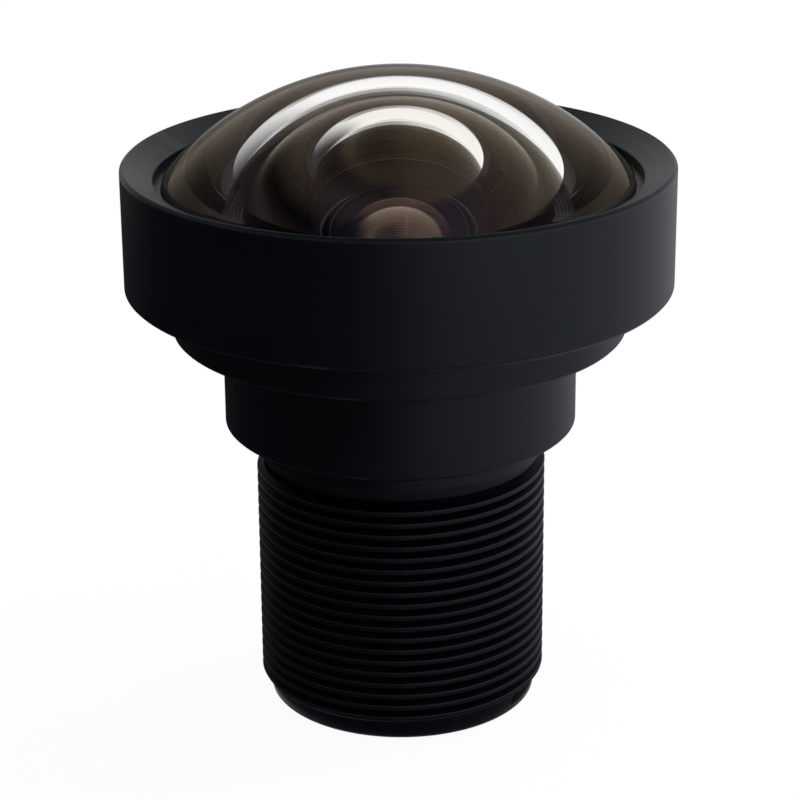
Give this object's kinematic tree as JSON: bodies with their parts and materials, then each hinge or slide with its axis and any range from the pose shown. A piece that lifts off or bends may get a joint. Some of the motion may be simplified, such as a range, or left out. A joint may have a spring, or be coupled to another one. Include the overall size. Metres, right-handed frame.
{
  "type": "s-mount lens",
  "caption": "Ultra-wide fixed-focus lens for board cameras: domed front element in a stepped black barrel with a fine external mounting thread.",
  "frame": {"origin": "centre of the rear end face of the threaded barrel, on which the lens stands", "axes": "+Z along the optical axis, out through the front element; X and Y square to it, with the spanner slots along X"},
  "size_m": [0.0222, 0.0222, 0.0264],
  "materials": {
    "anodised_barrel": "satin black anodised",
    "matt_black_metal": "matt black anodised",
    "coated_glass": "polished, anti-reflection coated",
    "filter_glass": "polished, infrared-cut coated",
    "seal_rubber": "matt black",
    "black_film": "matt black",
    "blackened_brass": "chemically blackened",
    "adhesive": "cured black epoxy"
  },
  "bodies": {
    "root": {"main_barrel": "anodised_barrel", "front_retaining_ring": "anodised_barrel", "front_element": "coated_glass", "front_o_ring": "seal_rubber", "inner_retaining_ring": "matt_black_metal", "second_element": "coated_glass", "front_light_shield": "black_film", "front_spacer": "matt_black_metal", "middle_light_shield": "black_film", "third_element": "coated_glass", "web_spacer": "matt_black_metal", "fourth_element": "coated_glass", "middle_spacer": "matt_black_metal", "aperture_stop": "blackened_brass", "stop_spacer": "matt_black_metal", "fifth_element": "coated_glass", "rear_light_shield": "black_film", "doublet_spacer": "matt_black_metal", "sixth_element": "coated_glass", "seventh_element": "coated_glass", "rear_retaining_ring": "anodised_barrel", "ir_cut_filter": "filter_glass", "filter_adhesive": "adhesive"}
  },
  "joints": []
}
